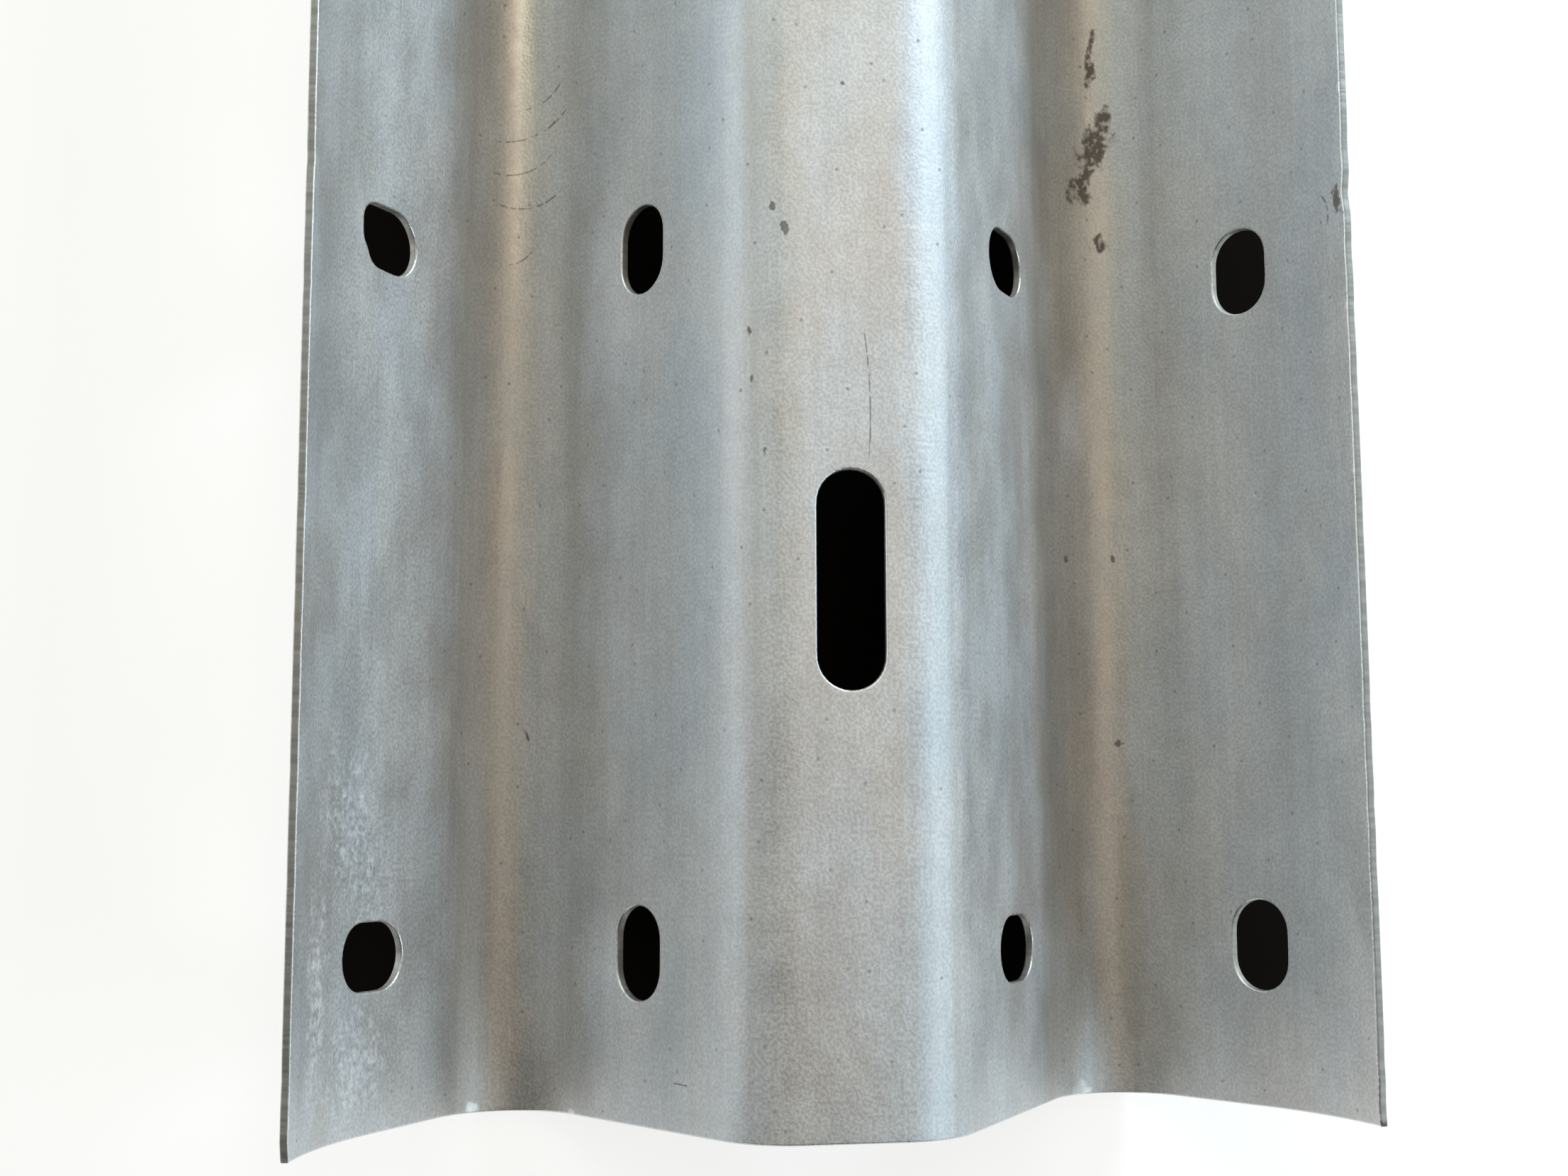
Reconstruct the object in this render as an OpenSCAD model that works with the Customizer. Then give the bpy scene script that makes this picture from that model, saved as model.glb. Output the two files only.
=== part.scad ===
/* [Run] */
// Post bays along the panel
bays = 2; // [1:1:4]
// Distance from one post to the next
bay = 1905; // [1500:5:2300]

/* [Section] */
// Depth from the crests to the ridge and the edges
depth = 83; // [70:1:100]
// Distance between the two crests
crest_pitch = 194; // [160:1:235]
// Width of the flat along the ridge
ridge_flat = 28.8; // [24:0.2:35]
// Sheet thickness
sheet = 2.67; // [2.2:0.01:3.6]
// Inside radius of the crest and ridge bends
bend_radius = 24; // [18:0.5:30]

/* [Edge curls] */
// Inside radius of the gentle curl out to each edge
curl_radius = 108; // [80:1:140]
// Slope of the sheet at its two long edges
curl_angle = 80; // [75:1:85]

/* [Post slots] */
// Width of a post slot
post_slot_width = 20; // [16:0.5:24]
// Length of a post slot
post_slot_length = 64; // [50:1:78]

/* [Splice slots] */
// Width of a splice slot
splice_slot_width = 20; // [16:0.5:24]
// Length of a splice slot
splice_slot_length = 28; // [25:0.5:34]
// Distance from a sheared end to the first row
row_inset = 51; // [41:1:62]
// Distance between the two rows of a lap
row_pitch = 216; // [180:1:260]
// Height of the slot centres above the plane of the crests
slot_height = 39.6; // [33:0.1:46]

/* [Hidden] */
$fn = 96;
post_inset = row_inset + row_pitch / 2;
length = bays * bay + 2 * post_inset;
crest_y = crest_pitch / 2;
ridge_y = ridge_flat / 2;
mid_radius = bend_radius + sheet / 2;
// The straight web lies between two equal bends, so its slope follows from them.
flank_run = crest_y - ridge_y;
flank_rise = depth - sheet - 2 * mid_radius;
web_angle = atan2(flank_rise, flank_run)
    + asin(2 * mid_radius / norm([flank_run, flank_rise]));
bend_run = mid_radius * sin(web_angle);
crest_low = sheet / 2 + mid_radius * (1 - cos(web_angle));
ridge_centre = [ridge_y, depth - sheet - bend_radius];
crest_centre = [crest_y, sheet + bend_radius];
// Each long edge is sheared square to the sheet, so its middle sits below the full depth.
curl_middle = curl_radius + sheet / 2;
edge_z = depth - sheet / 2 * cos(curl_angle);
foot_z = edge_z - curl_middle * (cos(web_angle) - cos(curl_angle));
foot_y = crest_y + bend_run + (foot_z - crest_low) / tan(web_angle);
curl_centre = [foot_y, foot_z] - curl_middle * under(web_angle);
edge = curl_centre + curl_middle * under(curl_angle);

// Directions across the section: up a slope, off the top of it and off its underside
function along(angle) = [cos(angle), sin(angle)];
function over(angle) = [sin(angle), cos(angle)];
function under(angle) = [sin(angle), -cos(angle)];

// Half of the space above one face of the sheet, the traffic face being at level 0
module above(level, reach) {
    crest_face = bend_radius + sheet - level;
    curl_face = curl_radius + sheet - level;
    far = curl_centre + curl_face * under(curl_angle) + 4 * sheet * along(curl_angle);
    union() {
        difference() {
            polygon([
                [-reach, far[1]],
                [-reach, depth - sheet + level],
                [ridge_y, depth - sheet + level],
                ridge_centre,
                ridge_centre + (bend_radius + level) * over(web_angle),
                crest_centre - crest_face * over(web_angle),
                crest_centre,
                crest_centre + crest_face * under(web_angle),
                curl_centre + curl_face * under(web_angle),
                curl_centre + curl_face * under(curl_angle),
                far
            ]);
            translate(ridge_centre) circle(r = bend_radius + level);
        }
        translate(crest_centre) circle(r = crest_face);
        translate(curl_centre) intersection() {
            circle(r = curl_face);
            polygon([
                0.9 * curl_face * under(web_angle), 2 * curl_face * under(web_angle),
                2 * curl_face * under(curl_angle), 0.9 * curl_face * under(curl_angle)
            ]);
        }
    }
}

// Half of the section, from the middle of the ridge out to the sheared edge
module half_section() {
    difference() {
        above(0, 1);
        above(sheet, 2);
        translate(edge) rotate(curl_angle) translate([0, -4 * sheet])
            square([8 * sheet, 8 * sheet]);
    }
}

// A round-ended punch, long along x, through the sheet
module punch(long, wide) {
    straight = long - wide;
    through = 6 * sheet;
    for (end = [-1, 1])
        translate([end * straight / 2, 0, 0]) cylinder(d = wide, h = through, center = true);
    cube([straight, wide, through], center = true);
}

// A splice slot punched square to a web, inboard or outboard of one crest
module web_punch(side, outboard, turn) {
    reach = bend_run + (slot_height - crest_low) / tan(web_angle);
    translate([0, side * (crest_y + outboard * reach), slot_height])
        rotate([side * outboard * web_angle, 0, 0]) rotate([0, 0, turn])
        punch(splice_slot_length, splice_slot_width);
}

// One row of splice slots, whose long way turns from each web to the next
module splice_row() {
    web_punch(1, 1, 90);
    web_punch(1, -1, 0);
    web_punch(-1, -1, 90);
    web_punch(-1, 1, 0);
}

// The rolled panel, punched for its posts and for the laps at both ends
module rail() {
    color([0.66, 0.68, 0.70]) difference() {
        translate([-length / 2, 0, 0]) rotate([90, 0, 90]) linear_extrude(length) union() {
            half_section();
            mirror([1, 0]) half_section();
        }
        for (post = [0:bays])
            translate([post_inset - length / 2 + post * bay, 0, depth - sheet / 2])
                punch(post_slot_length, post_slot_width);
        for (end = [-1, 1], row = [0, 1])
            translate([end * (length / 2 - row_inset - row * row_pitch), 0, 0]) splice_row();
    }
}

rail();
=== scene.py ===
# %% [markdown]
# # A rolled guardrail panel
#
# This lesson makes the looks of one loose panel of a highway guardrail. The real panel
# starts as a flat steel strip. It is punched, rolled to a W section and dipped in molten
# zinc. The CAD model already holds its true size, so the script opens that model first and
# keeps everything else in the same frame: x along the panel, z up from the two crests to
# the ridge.
#
# The box of the CAD model is kept from the start, and the rolled panel's points are held
# inside it, so that the looks don't change the size.

import math

import bmesh
import bpy
import numpy as np
from mathutils import Matrix, Vector


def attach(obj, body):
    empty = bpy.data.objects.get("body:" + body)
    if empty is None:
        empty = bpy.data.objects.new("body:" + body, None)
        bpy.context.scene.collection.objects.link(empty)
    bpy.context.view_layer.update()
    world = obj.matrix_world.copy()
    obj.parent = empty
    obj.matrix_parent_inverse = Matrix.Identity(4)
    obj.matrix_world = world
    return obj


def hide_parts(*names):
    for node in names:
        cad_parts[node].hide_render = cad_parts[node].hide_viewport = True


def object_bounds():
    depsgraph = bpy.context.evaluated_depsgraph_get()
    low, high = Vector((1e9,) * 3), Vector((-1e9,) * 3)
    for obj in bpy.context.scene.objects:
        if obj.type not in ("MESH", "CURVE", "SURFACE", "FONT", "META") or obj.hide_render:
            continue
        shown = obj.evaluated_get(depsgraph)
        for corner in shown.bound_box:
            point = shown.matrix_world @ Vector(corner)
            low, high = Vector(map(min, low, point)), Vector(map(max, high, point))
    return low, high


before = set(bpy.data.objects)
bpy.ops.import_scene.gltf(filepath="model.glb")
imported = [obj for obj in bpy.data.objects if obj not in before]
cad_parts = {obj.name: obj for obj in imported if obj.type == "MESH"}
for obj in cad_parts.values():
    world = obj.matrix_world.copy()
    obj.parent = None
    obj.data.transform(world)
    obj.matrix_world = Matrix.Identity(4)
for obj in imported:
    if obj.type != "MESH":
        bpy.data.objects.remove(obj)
cad_box = [list(corner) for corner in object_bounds()]
scene = bpy.context.scene
print("CAD nodes:", sorted(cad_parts), "box:", cad_box)

# %% [markdown]
# ## The camera
#
# The viewer leans over one end of the panel and looks almost straight down on its back.
# A camera could be aimed with a constraint, but then its roll is hard to read. Three plain
# angles and a focal length say the whole of it, so they are written out.

# %% Set the camera
camera_data = bpy.data.cameras.new("camera")
camera_data.sensor_width = 36
camera_data.lens = 43.5
camera_data.clip_start = 0.01
camera_data.clip_end = 50
camera = bpy.data.objects.new("camera", camera_data)
camera.location = (-1.97249, 0.09275, 0.61476)
camera.rotation_euler = [math.radians(angle) for angle in (6.886, -7.809, -90.198)]
scene.collection.objects.link(camera)
scene.camera = camera
print("camera at", tuple(camera.location), "lens", camera_data.lens)

# %% [markdown]
# ## The section as a list of bends
#
# A rolled sheet is a chain of straight runs and bends. If each one is written as a length
# and the angle it turns through, then any point of the flat strip can be carried to its
# place on the finished section. The other way would be to draw the section's outline and
# extrude it, but then the slots would have to be cut afterwards. Here they are punched
# while the strip is flat, as in the mill, and bend with it.
#
# The sizes are the same as in the CAD model, in millimetres here because a maker reads
# them that way.

# %% Sizes of the section
MM = 0.001
length = 4128.0
depth = 83.0
sheet = 2.67
crest_y = 97.0
ridge_half = 14.4
bend = 24 + sheet / 2
curl = 108 + sheet / 2
edge_slope = math.radians(80)

run, rise = crest_y - ridge_half, depth - sheet - 2 * bend
slope = math.atan2(rise, run) + math.asin(2 * bend / math.hypot(run, rise))
crest_low = sheet / 2 + bend * (1 - math.cos(slope))
ridge_low = depth - sheet / 2 - bend * (1 - math.cos(slope))
foot = depth - sheet / 2 * math.cos(edge_slope) - curl * (math.cos(slope) - math.cos(edge_slope))
inner_web = (ridge_low - crest_low) / math.sin(slope)
outer_web = (foot - crest_low) / math.sin(slope)
print("web slope", round(math.degrees(slope), 2), "degrees")

# %% The chain of runs and bends from the ridge to an edge
chain = [
    (ridge_half, 0.0),
    (bend * slope, -slope),
    (inner_web, 0.0),
    (2 * bend * slope, 2 * slope),
    (outer_web, 0.0),
    (curl * (edge_slope - slope), edge_slope - slope),
]
half_strip = sum(part[0] for part in chain)
joints_along = np.cumsum([0.0] + [part[0] for part in chain])
print("strip width", round(2 * half_strip, 1), "mm")


def roll(across, off):
    """Carry points of the flat strip, given off its middle face, to the section (y, z)."""
    reach = np.minimum(np.abs(across), half_strip)
    y, z, turn = np.zeros_like(reach), np.full_like(reach, depth - sheet / 2), np.zeros_like(reach)
    for part_length, part_turn in chain:
        step = np.clip(reach, 0, part_length)
        if part_turn:
            curve = part_turn / part_length
            y = y + (np.sin(turn + curve * step) - np.sin(turn)) / curve
            z = z - (np.cos(turn + curve * step) - np.cos(turn)) / curve
            turn = turn + curve * step
        else:
            y, z = y + np.cos(turn) * step, z + np.sin(turn) * step
        reach = reach - step
    side = np.where(across < 0, -1.0, 1.0)
    return side * (y - np.sin(turn) * off), z + np.cos(turn) * off


print("edge lands at", [round(float(v), 2) for v in roll(np.array([half_strip]), 0.0)])

# %% [markdown]
# ## The slots
#
# Sixteen splice slots and three post slots are punched in the strip. Each is a round-ended
# hole. On one side of the ridge a splice slot runs along the panel and on the next web it
# runs across it, and the pattern changes over on the other side.
#
# The slots are listed by their place on the flat strip. A splice slot's height above the
# crests is known, so its distance across the strip follows from the slope of the web. One
# slot was torn by a worn punch, so it also says how far its burr stands in, in millimetres.

# %% List the slots on the flat strip
slot_height = 39.6
inner_at = ridge_half + bend * slope + (ridge_low - slot_height) / math.sin(slope)
outer_at = joints_along[4] + (slot_height - crest_low) / math.sin(slope)
row_inset, row_pitch, bay = 51.0, 216.0, 1905.0
splice_slot_length, post_slot_length, slot_width = 28.0, 64.0, 20.0
end_x = length / 2

slots = []
for end in (-1, 1):
    for row in (0, 1):
        row_x = end * (end_x - row_inset - row * row_pitch)
        for across, along in ((outer_at, 0), (inner_at, 1), (-inner_at, 0), (-outer_at, 1)):
            slots.append({"x": row_x, "s": across, "long": splice_slot_length,
                          "wide": slot_width, "along": along})
for post in (-1, 0, 1):
    slots.append({"x": post * bay, "s": 0.0, "long": post_slot_length,
                  "wide": slot_width, "along": 1})
torn_at = (row_inset + row_pitch - end_x, outer_at)
torn_slot = min(slots, key=lambda slot: math.dist((slot["x"], slot["s"]), torn_at))
torn_slot["torn"] = 3.0
print(len(slots), "slots, inner at", round(inner_at, 1), "and outer at", round(outer_at, 1))

# %% [markdown]
# ## Lines on the strip
#
# The strip becomes a grid of four-sided faces. Bends need close lines, flat webs don't.
# Around each slot the grid has a small rectangle with lines at even steps, so that the
# slot's round rim can be joined to it point by point. A boolean cut would be quicker to
# write, but it leaves long thin faces that shade badly on polished or coated metal.
#
# The end that is looked at closely gets lines every few millimetres, and the rest wider,
# because the section doesn't change along the panel.

# %% Lines across the strip
patch_s, patch_x, post_patch_s, post_patch_x = 19.0, 20.0, 13.6, 38.0
bend_step, web_step, slot_step = 2.8, 6.0, 3.8
edge_round = 0.7
edge_zone = 2.2


def fill(stops, widest):
    """Put lines at the stops, and between them no further apart than widest."""
    stops = sorted(set(round(float(stop), 6) for stop in stops))
    lines = [stops[0]]
    for low, high in zip(stops, stops[1:]):
        count = max(1, math.ceil((high - low) / widest - 1e-9))
        lines += [low + (high - low) * k / count for k in range(1, count + 1)]
    return lines


half_lines = fill([0, post_patch_s], 3.4)
half_lines += fill([post_patch_s, joints_along[1], joints_along[2]], bend_step)
half_lines += fill([joints_along[2], inner_at - patch_s], web_step)
half_lines += fill([inner_at - patch_s, inner_at + patch_s], slot_step)
half_lines += fill([inner_at + patch_s, joints_along[3]], web_step)
half_lines += fill([joints_along[3], joints_along[4]], bend_step)
half_lines += fill([joints_along[4], outer_at - patch_s], web_step)
half_lines += fill([outer_at - patch_s, outer_at + patch_s], slot_step)
half_lines += fill([outer_at + patch_s, half_strip - edge_zone], 4)
half_lines += [half_strip - edge_round]
half_lines = sorted(set(round(line, 4) for line in half_lines))
s_lines = np.array(sorted(set([-line for line in half_lines] + half_lines)))
print(len(s_lines), "lines across")

# %% Lines along the strip
near_x, far_x = -end_x, end_x
# The near zone is the stretch with close lines, and a hair is the slack in comparisons.
near_step, far_step, near_zone, hair = 3.5, 60.0, 480, 0.01


def patch_size(slot):
    """Half the size of a slot's rectangle, across the strip and along it."""
    return (post_patch_s, post_patch_x) if slot["long"] == post_slot_length else (patch_s, patch_x)


x_stops = [near_x + edge_round, near_x + edge_zone, far_x - edge_zone, far_x - edge_round]
x_lines = []
patches_x = sorted(set((slot["x"], patch_size(slot)[1]) for slot in slots))
for middle, half in patches_x:
    x_lines += fill([middle - half, middle + half], near_step)
    x_stops += [middle - half, middle + half]
x_stops = sorted(set(round(stop, 4) for stop in x_stops + [near_x + near_zone]))
for low, high in zip(x_stops, x_stops[1:]):
    if not any(middle - half - hair < low and high < middle + half + hair for middle, half in patches_x):
        x_lines += fill([low, high], near_step if high < near_x + near_zone + 1 else far_step)
x_lines = np.array(sorted(set(round(line, 4) for line in x_lines)))
print(len(x_lines), "lines along")

# %% [markdown]
# ## Faces on both sides of the strip
#
# The strip has two broad faces with the same grid: the back face, which a post bears on,
# and the traffic face. A cell inside a slot's rectangle is left out. Each point is kept as
# three numbers: its place along the strip, across it, and off the middle of the sheet.

# %% Make the two broad faces
points, faces = [], []
rows, columns = len(x_lines), len(s_lines)
for off in (sheet / 2, -sheet / 2):
    for x in x_lines:
        points += [(x, s, off) for s in s_lines]


def grid_point(layer, i, j):
    return layer * rows * columns + i * columns + j


for slot in slots:
    half_s, half_x = patch_size(slot)
    slot["i"] = [int(np.argmin(abs(x_lines - slot["x"] - d))) for d in (-half_x, half_x)]
    slot["j"] = [int(np.argmin(abs(s_lines - slot["s"] - d))) for d in (-half_s, half_s)]

punched = np.zeros((rows - 1, columns - 1), bool)
for slot in slots:
    punched[slot["i"][0]:slot["i"][1], slot["j"][0]:slot["j"][1]] = True
for i in range(rows - 1):
    for j in range(columns - 1):
        if not punched[i, j]:
            for layer in (0, 1):
                quad = [grid_point(layer, i, j), grid_point(layer, i + 1, j),
                        grid_point(layer, i + 1, j + 1), grid_point(layer, i, j + 1)]
                faces.append(quad if layer else quad[::-1])
print(len(points), "points and", len(faces), "faces on the two broad sides")

# %% [markdown]
# ## Rounded rims
#
# A punched and dipped edge is never sharp: the punch rolls it over and the zinc fills the
# corner. That small round is what catches the light, so it is modelled, not left to a
# texture. From the broad face the rim goes round a quarter turn, down the wall of the
# sheet and round again to the other face. One list of steps serves every slot and the
# strip's own outer edge. The torn slot gets a few low teeth where its burr stands in.

# %% Steps round an edge
quarter = [math.radians(angle) for angle in (0, 22.5, 45, 67.5, 90)]
rim_steps = [(edge_round * (1 - math.sin(a)), sheet / 2 - edge_round * (1 - math.cos(a))) for a in quarter]
rim_steps += [(inset, -off) for inset, off in reversed(rim_steps)]


def join_loops(first, second):
    """Make a band of faces between two closed loops of points."""
    for k in range(len(first)):
        after = (k + 1) % len(first)
        faces.append([first[k], first[after], second[after], second[k]])


def add_loop(loop):
    points.extend(loop)
    return list(range(len(points) - len(loop), len(points)))


print(len(rim_steps), "steps round each edge")

# %% Join each slot to its rectangle
def rectangle(layer, i, j):
    """The grid points round a slot's rectangle, in order."""
    (i0, i1), (j0, j1) = i, j
    ring = [(k, j0) for k in range(i0, i1)] + [(i1, k) for k in range(j0, j1)]
    ring += [(k, j1) for k in range(i1, i0, -1)] + [(i0, k) for k in range(j1, j0, -1)]
    return [grid_point(layer, a, b) for a, b in ring]


def burr(slot, lead, side):
    """How far a torn rim stands into its slot, for the one slot that has such a rim."""
    if not slot.get("torn"):
        return 0.0
    turn = math.atan2(side, lead)
    facing = max(0.0, math.cos(turn + 0.35))
    teeth = 0.88 + 0.12 * math.sin(7 * turn)
    return slot["torn"] * facing ** 3 * teeth


def rim_point(slot, point, inset):
    """The rim point that faces a given grid point, set back from the edge by inset."""
    straight = (slot["long"] - slot["wide"]) / 2
    dx, ds = point[0] - slot["x"], point[1] - slot["s"]
    lead, side = (dx, ds) if slot["along"] else (ds, dx)
    middle = min(max(lead, -straight), straight)
    away = math.hypot(lead - middle, side)
    radius = slot["wide"] / 2 + inset - burr(slot, lead, side)
    lead, side = middle + radius * (lead - middle) / away, radius * side / away
    dx, ds = (lead, side) if slot["along"] else (side, lead)
    return slot["x"] + dx, slot["s"] + ds


for slot in slots:
    loops = []
    for layer, off in ((0, sheet / 2), (1, -sheet / 2)):
        outer = rectangle(layer, slot["i"], slot["j"])
        near = [rim_point(slot, points[p], edge_round) for p in outer]
        chained = [outer]
        for share in (0.4, 0.7, 0.88):
            ring = [((1 - share) * points[p][0] + share * q[0],
                     (1 - share) * points[p][1] + share * q[1], off) for p, q in zip(outer, near)]
            chained.append(add_loop(ring))
        loops.append(chained)
    wall = [add_loop([(*rim_point(slot, points[p], inset), off) for p in loops[0][0]])
            for inset, off in rim_steps]
    order = loops[0] + wall + loops[1][::-1]
    for first, second in zip(order, order[1:]):
        join_loops(first, second)
print("rims joined:", len(points), "points")

# %% Round the strip's outer edge
outline = rectangle(0, (0, rows - 1), (0, columns - 1))
under = rectangle(1, (0, rows - 1), (0, columns - 1))


def edge_point(point, inset):
    """A point of the outline, moved so that it lies inset from the strip's true edge."""
    x, s = point[0], point[1]
    if abs(x) > end_x - edge_round - hair:
        x = math.copysign(end_x - inset, x)
    if abs(s) > half_strip - edge_round - hair:
        s = math.copysign(half_strip - inset, s)
    return x, s


wall = [add_loop([(*edge_point(points[p], inset), off) for p in outline])
        for inset, off in rim_steps[1:-1]]
for first, second in zip([outline] + wall, wall + [under]):
    join_loops(first, second)
print("outer edge joined:", len(points), "points,", len(faces), "faces")

# %% [markdown]
# ## Roll the strip
#
# Now every point goes through `roll`, which bends the strip to its section. Two small faults
# of a real panel are added on the way. Its sheared end is a hair out of square, and its
# edges carry small dents from handling. Both only pull metal inwards, so the panel stays
# inside its box.
#
# The strip's own coordinates are kept on the mesh as an attribute named `strip`, in metres.
# The finish is drawn in those coordinates, so that marks follow the metal round its bends.

# %% Dents along the edges
rng = np.random.default_rng(7)
dent_fade = 6.0
# Each dent: distance from the near end, side, depth and width.
dents = [(280.1, -1, 1.1, 4.5), (277.3, 1, 0.8, 3.5), (0.0, 1, 1.3, 3.0)]
dents += [(rng.uniform(4, 470), side, rng.uniform(0.12, 0.4), rng.uniform(2, 6))
          for side in (-1, 1) for _ in range(16)]
dents += [(rng.uniform(near_zone, length), side, rng.uniform(0.15, 0.6), rng.uniform(30, 60))
          for side in (-1, 1) for _ in range(14)]


def dented(x, s):
    """How far the strip's long edges are pushed in at each point."""
    depth_here = np.zeros_like(x)
    for from_end, side, deep, wide in dents:
        bump = deep * np.exp(-((x - near_x - from_end) / wide) ** 2)
        depth_here = np.maximum(depth_here, np.where(np.sign(s) == side, bump, 0))
    near_edge = (np.abs(s) - half_strip + dent_fade) / (dent_fade - edge_round)
    return depth_here * np.clip(near_edge, 0, 1)


print(len(dents), "dents, the deepest", max(dent[2] for dent in dents), "mm")

# %% Carry the points to their places
strip = np.array(points)
out_of_square, pulled_length = 2.0, 30
pull = np.clip(1 - (strip[:, 0] - near_x) / pulled_length, 0, 1) ** 2
x = strip[:, 0] + out_of_square * pull * (half_strip - strip[:, 1]) / (2 * half_strip)
s = strip[:, 1] - np.sign(strip[:, 1]) * dented(strip[:, 0], strip[:, 1])
y, z = roll(s, strip[:, 2])
low, high = np.array(cad_box[0]), np.array(cad_box[1])
placed = np.clip(np.stack([x, y, z], 1) * MM, low, high)

panel_mesh = bpy.data.meshes.new("rolled_panel")
panel_mesh.from_pydata([tuple(p) for p in placed], [], faces)
flat_place = panel_mesh.attributes.new("strip", "FLOAT_VECTOR", "POINT")
flat_place.data.foreach_set("vector", (strip * MM).ravel())

work = bmesh.new()
work.from_mesh(panel_mesh)
bmesh.ops.delete(work, geom=[v for v in work.verts if not v.link_faces], context="VERTS")
bmesh.ops.recalc_face_normals(work, faces=work.faces)
for face in work.faces:
    face.smooth = True
open_edges = sum(1 for edge in work.edges if len(edge.link_faces) != 2)
triangles = sum(len(face.verts) - 2 for face in work.faces)
work.to_mesh(panel_mesh)
work.free()
panel = bpy.data.objects.new("rolled_panel", panel_mesh)
scene.collection.objects.link(panel)
keep_flat = panel.modifiers.new("keep_flat", "WEIGHTED_NORMAL")
keep_flat.keep_sharp = True
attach(panel, "root")
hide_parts("rail")
print(triangles, "triangles,", open_edges, "open edges")

# %% [markdown]
# ## Words for a finish
#
# A finish is a network of small steps, and writing each step out takes many lines. These
# short helpers add one step each and return what comes out of it. All of them measure in
# millimetres on the flat strip, so a mark can be placed as a maker would place it: so far
# from the sheared end, so far from the middle of the ridge.

# %% Helpers for nodes
zinc = bpy.data.materials.new("zinc")
zinc.use_nodes = True
nodes, links = zinc.node_tree.nodes, zinc.node_tree.links
shader = nodes["Principled BSDF"]


def node(kind, inputs, output=0, **settings):
    """Add one node, set or link its inputs, and return one of its outputs."""
    made = nodes.new("ShaderNode" + kind)
    for name, value in settings.items():
        setattr(made, name, value)
    for name, value in inputs.items():
        if isinstance(value, bpy.types.NodeSocket):
            links.new(value, made.inputs[name])
        else:
            made.inputs[name].default_value = value
    return made.outputs[output]


def maths(operation, first, second=0.0, third=0.0):
    """One step of arithmetic."""
    return node("Math", {0: first, 1: second, 2: third}, operation=operation)


def ramp(value, low, high, first=0.0, last=1.0):
    """Go smoothly from first to last while value goes from low to high."""
    return node("MapRange", {0: value, 1: low, 2: high, 3: first, 4: last},
                interpolation_type="SMOOTHSTEP")


def blend(share, first, second):
    """Mix two colours; a share of 1 gives all of the second."""
    return node("Mix", {0: share, 6: first, 7: second}, 2, data_type="RGBA")


strip_place = node("Attribute", {}, 1, attribute_name="strip")
place = node("VectorMath", {0: strip_place, "Scale": 1 / MM}, operation="SCALE")
split = node("SeparateXYZ", {0: place}).node
across, off_middle = split.outputs[1], split.outputs[2]


def noise(long, wide, detail=2.0):
    """Uneven values round 0.5, in flecks so long along the panel and so wide across it."""
    size = node("VectorMath", {0: place, 1: (1 / long, 1 / wide, 1 / wide)}, operation="MULTIPLY")
    return node("TexNoise", {"Vector": size, "Scale": 1.0, "Detail": detail},
                noise_dimensions="2D")


def local(from_end, across_by, turn, long=2.0, wide=2.0):
    """Coordinates with their middle at a mark, turned with it and scaled to its half sizes."""
    any_depth = 1e5
    return node("Mapping", {"Vector": place, "Location": (near_x + from_end, across_by, 0),
                            "Rotation": (0, 0, math.radians(turn)),
                            "Scale": (long / 2, wide / 2, any_depth)}, vector_type="TEXTURE")


raggedness = maths("SUBTRACT", noise(5, 4, 4), 0.5)
fleck = noise(2.6, 2.2, 3)
fine_raggedness = maths("SUBTRACT", fleck, 0.5)


def patch(from_end, across_by, long, wide, turn=0.0, ragged=0.9, edge=raggedness, core=0.55):
    """An oval patch with a ragged edge: 1 in its core, fading to 0 outside."""
    here = local(from_end, across_by, turn, long, wide)
    away = node("VectorMath", {0: here}, 1, operation="LENGTH")
    return ramp(maths("MULTIPLY_ADD", edge, 2 * ragged, away), 1.0, core)


def hairline(from_end, across_by, long, turn, bow=0.0, wide=0.5):
    """A thin bowed scratch that fades at its two tips."""
    here = node("SeparateXYZ", {0: local(from_end, across_by, turn)}).node
    lead = maths("DIVIDE", here.outputs[0], long / 2)
    aside = maths("SUBTRACT", here.outputs[1], maths("MULTIPLY", maths("MULTIPLY", lead, lead), bow))
    line = ramp(maths("ABSOLUTE", aside), wide, 0.0)
    return maths("MULTIPLY", line, ramp(maths("ABSOLUTE", lead), 1.0, 0.6))


def any_of(masks):
    """Put several marks in one mask."""
    total = masks[0]
    for mask in masks[1:]:
        total = maths("MAXIMUM", total, mask)
    return total


print(len(nodes), "nodes so far")

# %% [markdown]
# ## Zinc that has begun to weather
#
# Fresh hot-dip zinc is bright and spangled. After a few weeks outdoors a grey film of zinc
# carbonate takes most of the shine, and what is left is a soft metal glow with a fine grain.
# The film is never even: it comes in clouds a few centimetres long, and drawing and rolling
# leave faint streaks along the strip. Each of these is one layer of noise at its own size,
# and together they scale the film's colour, which drifts between a cool and a warm grey. A
# single noise with many octaves would be simpler, but then the clouds and the grain couldn't
# be set apart.

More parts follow.
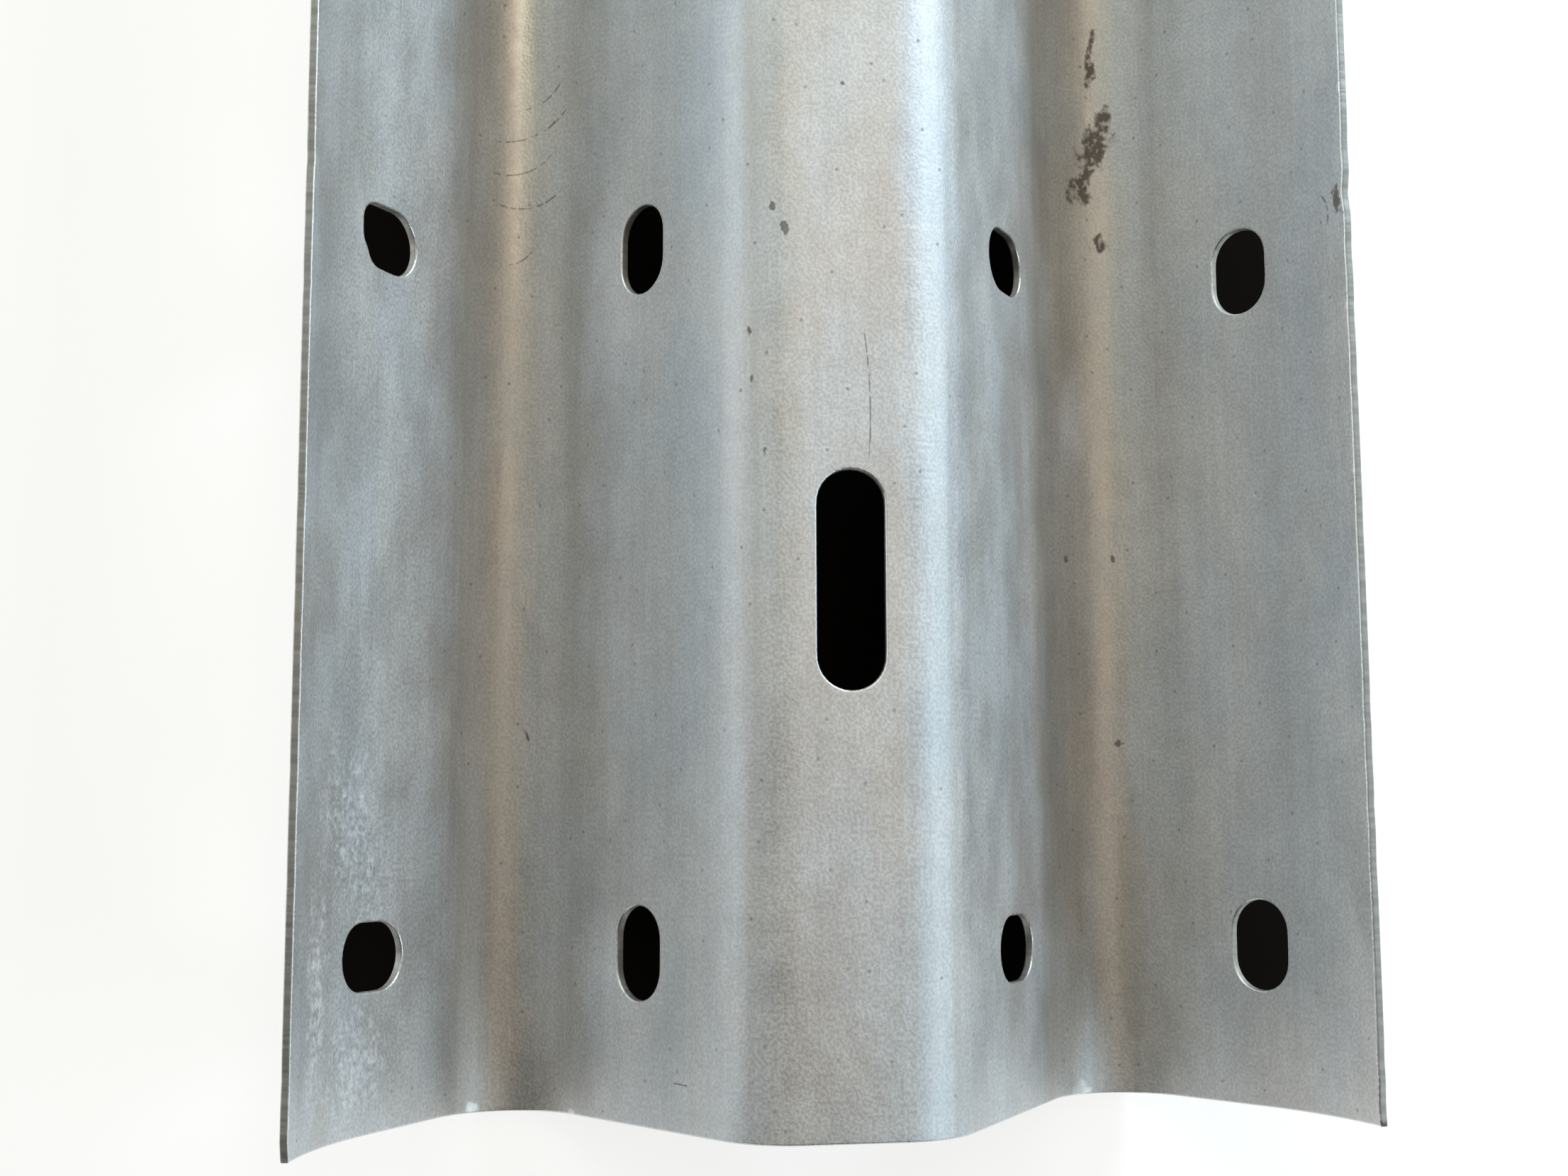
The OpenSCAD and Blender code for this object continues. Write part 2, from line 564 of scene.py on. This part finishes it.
# %% Tone of the film
clouds, grain = noise(34, 18, 2), noise(1.1, 0.9, 1)
tone = ramp(clouds, 0.3, 0.7, 0.95, 1.05)
tone = maths("MULTIPLY", tone, ramp(noise(8, 6, 1), 0.25, 0.75, 0.975, 1.025))
tone = maths("MULTIPLY", tone, ramp(noise(260, 2.4, 1), 0.25, 0.75, 0.98, 1.02))
tone = maths("MULTIPLY", tone, ramp(grain, 0.25, 0.75, 0.89, 1.11))
cool_grey, warm_grey = (0.60, 0.615, 0.625, 1), (0.62, 0.615, 0.605, 1)
film = blend(ramp(noise(70, 28, 1), 0.35, 0.65), cool_grey, warm_grey)
colour = node("VectorMath", {0: film, "Scale": tone}, operation="SCALE")
rough = maths("ADD", ramp(clouds, 0.3, 0.7, -0.04, 0.04), ramp(grain, 0.3, 0.7, 0.54, 0.60))
print(len(nodes), "nodes with the film")

# %% [markdown]
# ## Painted shade and pale oxide
#
# Darker lines are painted as shade along the lines where some webs turn into bends, and a
# soft patch of painted shade lies on the right crest by the near end. On the outer webs,
# where water stood between stacked panels, the film has grown
# pale and chalky in places. Chalk is not a metal, so it also lowers the metal share.

# %% Painted shade along bend lines and near the end
# The grey of the painted shade, laid along bend lines and near the end.
shade_grey = (0.38, 0.36, 0.32, 1)
# Each painted shade line: distance across from the ridge's middle, and how far it fades.
bend_shade_lines = [(28.0, 5.0), (-31.0, 3.0), (-104.0, 7.0), (153.0, 8.0)]
on_bend_lines = any_of([ramp(maths("ABSOLUTE", maths("SUBTRACT", across, at)), wide, 0.0)
                  for at, wide in bend_shade_lines])
bend_shade = maths("MULTIPLY", on_bend_lines, ramp(noise(50, 4, 1), 0.3, 0.6, 0.4, 1.0))
# Painted shade: a soft patch on the right crest near the near end, where the light falls off.
near_end_shade = patch(55, -145, 110, 13, 0, 0.5)
darker = any_of([bend_shade, near_end_shade])
colour = blend(maths("MULTIPLY", darker, 0.25), colour, shade_grey)

# %% Pale oxide
chalk_white = (0.80, 0.82, 0.80, 1)
chalk_at = any_of([patch(86, 203, 66, 34, 15, 1.0, core=0.0), patch(18, 200, 50, 40, 0, 1.0, core=0.0),
                   patch(40, 222, 90, 14, 0, 0.9, core=0.1), patch(120, -222, 80, 15, 0, 1.0, core=0.1)])
chalk = maths("MULTIPLY", chalk_at, ramp(fleck, 0.34, 0.72))
colour = blend(maths("MULTIPLY", chalk, 0.20), colour, chalk_white)
print(len(nodes), "nodes with rub lines and oxide")

# %% [markdown]
# ## Scratches, bright wear and painted highlights
#
# The panel has been stacked and dragged. Something curved has scratched the left crest, and
# left dark bowed hairlines across it. Scuffs near the left edge are short bright lines.
# A warm band along the left crest is a painted highlight, and small bright spots at the
# crests' ends are painted glints. The metal is also bright where the edge has knocked
# against things.

# %% Dark scratches
scratch_brown = (0.14, 0.12, 0.10, 1)
# Each hairline: from the end, across, length, turn, bow and, where it isn't 0.5, width.
scratches = [hairline(316, 128, 34, -67, 4), hairline(291, 130, 30, -80, 5),
             hairline(273, 133, 12, -60, 1.5), hairline(303, 132, 26, -72, 4),
             hairline(327, 126, 22, -60, 3), hairline(214, -5.8, 46, 2, 1.5, 0.35),
             hairline(14.5, 56.2, 9, 88, 0, 0.4), hairline(118, 129.5, 9, 35, 1.5, 0.9),
             hairline(278, -231, 12, 15, 2, 0.6)]
scratched = maths("MULTIPLY", any_of(scratches), ramp(fleck, 0.35, 0.55))
colour = blend(maths("MULTIPLY", scratched, 0.85), colour, scratch_brown)

# %% Scuffs, bright wear and painted highlights
# The warm colour is that of the painted highlight on the left crest.
warm_highlight, bright_zinc = (0.86, 0.82, 0.74, 1), (0.88, 0.89, 0.88, 1)
scuffs = any_of([hairline(327, 178, 47, -17, 2, 0.8), hairline(320, 190, 9, -30, 0, 1.3),
                 hairline(327, 171.5, 21, -15, 0, 0.7), hairline(335, 183, 26, -25, 2, 0.6)])
# The first four patches are painted glints at the crests' ends; the rest are bright nicks.
knocks_and_glints = any_of([patch(1.2, 146, 6, 5, 0, 0.7), patch(0.8, 109, 3, 5, 0, 0.7),
                 patch(1.5, -125, 7, 9, 0, 0.8), patch(1.0, -148, 3, 5, 0, 0.7),
                 patch(314, -239, 4, 3), patch(245, -239, 3, 3), patch(194, -239, 4, 3),
                 patch(277, 237, 5, 5), patch(270, 208, 10, 5, 0, 1.2, fine_raggedness)])
# Painted highlight: a warm band along the left crest, which is also made a little smoother.
crest_highlight = patch(360, 132.5, 260, 17, 0, 0.3, core=0.0)
bright = any_of([scuffs, maths("MULTIPLY", knocks_and_glints, 0.8)])
colour = blend(maths("MULTIPLY", crest_highlight, 0.32), colour, warm_highlight)
colour = blend(maths("MULTIPLY", bright, 0.7), colour, bright_zinc)
print(len(nodes), "nodes with scratches and wear")

# %% [markdown]
# ## Dirt and specks
#
# Earth has dried in the right crest, where a panel on its back collects it. It breaks up at
# its edge. Small dark specks have settled from the air, and a chip on the right edge has
# gone dark.

# %% Dirt and specks
earth_brown = (0.10, 0.066, 0.042, 1)
earth_at = any_of([patch(321, -138, 30, 11, -20, 0.9), patch(306, -132, 13, 11, -35, 1.0),
                   patch(350, -137, 22, 4, -5, 1.2), patch(286, -139, 8, 7, 0, 1.2)])
earth = maths("MULTIPLY", earth_at, ramp(fleck, 0.34, 0.52, 0.25, 1.0))
# Each speck: from the end, across and width.
specks_at = [(262.3, 18.9, 2.8), (218.4, 28.2, 1.7), (196.2, 24.7, 1.9), (176.0, -123.3, 2.2),
             (176.5, -141.3, 2.0), (114.6, -141.8, 2.2), (269, 22, 2.2), (307, 1.5, 1.5),
             (232, 29, 1.6)]
specks = any_of([patch(from_end, at, 1.5 * wide, wide, 0, 1.4, fine_raggedness)
                 for from_end, at, wide in specks_at])
chip = patch(279, -236.0, 11, 5.5, 12, 0.8, fine_raggedness)
settled = node("VectorMath", {0: place, 1: (0.045, 0.05, 0.05)}, operation="MULTIPLY")
flecks = ramp(node("TexVoronoi", {"Vector": settled, "Scale": 1.0}, voronoi_dimensions="2D"),
              0.035, 0.012)
dirt = any_of([earth, chip, maths("MULTIPLY", specks, 0.85), maths("MULTIPLY", flecks, 0.5)])
colour = blend(maths("MULTIPLY", dirt, 0.85), colour, earth_brown)
print(len(nodes), "nodes with dirt")

# %% [markdown]
# ## Sheared faces and painted rim highlights
#
# A sheared or punched face shows the steel's own grey-brown under thin zinc. Right at the
# rims the molten zinc drew thin and smooth, and a painted highlight makes these lines the
# brightest on the panel.
# Both are found from one number, the distance off the middle of the sheet: it is full on
# the broad faces and smaller only on the rims and walls.

# %% Edge faces and painted rim highlights
steel_dark, steel_pale, rim_highlight_colour = (0.22, 0.21, 0.18, 1), (0.32, 0.31, 0.28, 1), (0.86, 0.88, 0.88, 1)
rim_starts, wall_starts = sheet / 2 - 0.12, sheet / 2 - 0.45
deep = maths("ABSOLUTE", off_middle)
sheared = ramp(deep, rim_starts, wall_starts)
# Painted highlight: the outermost rim is lightened in colour, and it is also made smoother.
rim_highlight = maths("MULTIPLY", ramp(deep, sheet / 2, rim_starts), maths("SUBTRACT", 1.0, sheared))
sheared_colour = blend(ramp(fleck, 0.35, 0.65), steel_dark, steel_pale)
colour = blend(maths("MULTIPLY", sheared, 0.8), colour, sheared_colour)
colour = blend(maths("MULTIPLY", rim_highlight, 0.4), colour, rim_highlight_colour)
rough = maths("SUBTRACT", rough, maths("MULTIPLY", rim_highlight, 0.3))
rough = maths("ADD", rough, maths("MULTIPLY", any_of([dirt, maths("MULTIPLY", chalk, 0.5)]), 0.2))
rough = maths("SUBTRACT", rough, maths("MULTIPLY", any_of([bright, crest_highlight]), 0.15))
not_metal = any_of([maths("MULTIPLY", dirt, 0.85), maths("MULTIPLY", chalk, 0.5)])
metal = maths("SUBTRACT", 0.88, not_metal)
print(len(nodes), "nodes with edge faces")

# %% [markdown]
# ## Relief of the zinc
#
# Zinc never freezes quite flat. It keeps a fine grain, soft waves a few millimetres long and
# long low ripples drawn out along the strip. All are around a tenth of a millimetre, far too
# low to model, so they bend the light as bump. The thin clear coat stands for the smooth skin
# that still shines a little through the film.

# %% Relief of the surface, in millimetres
relief = maths("MULTIPLY", grain, 0.07)
relief = maths("MULTIPLY_ADD", noise(7, 5, 1), 0.12, relief)
relief = maths("MULTIPLY_ADD", noise(120, 9, 1), 0.10, relief)
bump = node("Bump", {"Height": relief, "Distance": MM, "Strength": 1.0})
links.new(colour, shader.inputs["Base Color"])
links.new(rough, shader.inputs["Roughness"])
links.new(metal, shader.inputs["Metallic"])
links.new(bump, shader.inputs["Normal"])
shader.inputs["Coat Weight"].default_value = 0.12
shader.inputs["Coat Roughness"].default_value = 0.34
panel_mesh.materials.append(zinc)
print(len(nodes), "nodes in the zinc")

# %% [markdown]
# ## Floor
#
# The floor is plain and pale. Most of its brightness is a glow of its own, as on a light
# table, so that it stays evenly pale whatever the lights do. Far away it turns up in a low
# rim, so that a level view ends in the same pale tone and not in a dark sky. A flat dark mat
# lies on it under the near end as a painted shadow. It keeps the slots dark, as they are when
# more panels lie underneath. Neither belongs to the panel.

# %% Floor and painted shadow mat
def slab(name, x_range, y_range, z, base, glow, rim_height=0.0):
    """A flat stage piece whose glow is its light without any lamp."""
    mesh = bpy.data.meshes.new(name)
    (x0, x1), (y0, y1) = x_range, y_range
    corners = [(x0, y0, z), (x1, y0, z), (x1, y1, z), (x0, y1, z)]
    sides = [(0, 1, 2, 3)]
    if rim_height:
        corners += [(x, y, z + rim_height) for x, y, _ in corners]
        sides += [(k, (k + 3) % 4, (k + 3) % 4 + 4, k + 4) for k in range(4)]
    mesh.from_pydata(corners, [], sides)
    made = bpy.data.objects.new(name, mesh)
    scene.collection.objects.link(made)
    look = bpy.data.materials.new(name)
    look.use_nodes = True
    face = look.node_tree.nodes["Principled BSDF"]
    face.inputs["Base Color"].default_value = (*base, 1)
    face.inputs["Roughness"].default_value = 0.95
    face.inputs["Emission Color"].default_value = (1.0, 1.0, 0.985, 1)
    face.inputs["Emission Strength"].default_value = glow
    face.inputs["Specular IOR Level"].default_value = 0.0
    mesh.materials.append(look)


slab("pale_floor", (-60.0, 60.0), (-60.0, 60.0), -0.002, (0.30, 0.30, 0.30), 0.79, rim_height=9.0)
# Painted shadow: a near-black sheet under the near end that keeps the slots dark.
slab("painted_shadow_mat", (-2.055, -1.740), (-0.166, 0.150), -0.0005, (0.008, 0.0066, 0.0056), 0.0)

# %% [markdown]
# ## Light
#
# The light is soft and comes from long panels hung beside and above the metal, parallel to
# it. Each is placed by the direction it comes from, seen along the panel, and by how far
# ahead of a point near the end it hangs. The biggest is cool and stands to the right and
# ahead, a weaker one answers it from the left, and two yellower ones hang overhead, which
# the crests and the ridge see. Only one faint light hangs behind the near end, so the metal
# darkens towards it.

# %% Lights
aim = Vector((-1.9, 0.0, 0.05))
away = 2.5


def soft_light(name, lift, ahead, long, wide, power, colour):
    """A long soft light; lift 0 is level with the left side, 90 overhead, 180 the right."""
    angle = math.radians(lift)
    data = bpy.data.lights.new(name, "AREA")
    data.shape = "RECTANGLE"
    data.size, data.size_y, data.energy, data.color = long, wide, power, colour
    lamp = bpy.data.objects.new(name, data)
    lamp.location = aim + Vector((ahead, away * math.cos(angle), away * math.sin(angle)))
    out = (lamp.location - aim).normalized()
    upward = out.cross(Vector((1, 0, 0))).normalized()
    lamp.rotation_euler = Matrix((upward.cross(out), upward, out)).transposed().to_euler()
    scene.collection.objects.link(lamp)
    print(name, power, "W")


# Each light: lift, metres ahead, length, width, power and colour.
soft_light("right_ahead", 144, 2.6, 2.0, 0.5, 96, (0.70, 0.86, 1.0))
soft_light("right_over", 138, -1.0, 1.6, 0.5, 17, (0.78, 0.93, 1.0))
soft_light("right_low", 158, 0.6, 1.8, 0.6, 14, (0.74, 0.91, 1.0))
soft_light("over_ahead", 80, 2.6, 2.0, 1.2, 20, (0.94, 1.0, 0.82))
soft_light("over", 95, 0.6, 1.8, 0.9, 12, (1.0, 0.78, 0.59))
soft_light("left_ahead", 43, 2.6, 2.0, 1.0, 20, (0.85, 1.0, 0.99))
soft_light("left_over", 40, 0.6, 1.8, 1.0, 7.1, (1.0, 1.0, 0.96))
soft_light("left_low", 8, 0.6, 1.8, 0.6, 12, (0.88, 0.95, 1.0))
scene.world = bpy.data.worlds.new("studio")
scene.world.use_nodes = True
sky = scene.world.node_tree.nodes["Background"]
sky.inputs["Color"].default_value = (0.80, 0.84, 0.88, 1)
sky.inputs["Strength"].default_value = 0.012
scene.view_settings.view_transform = "Standard"
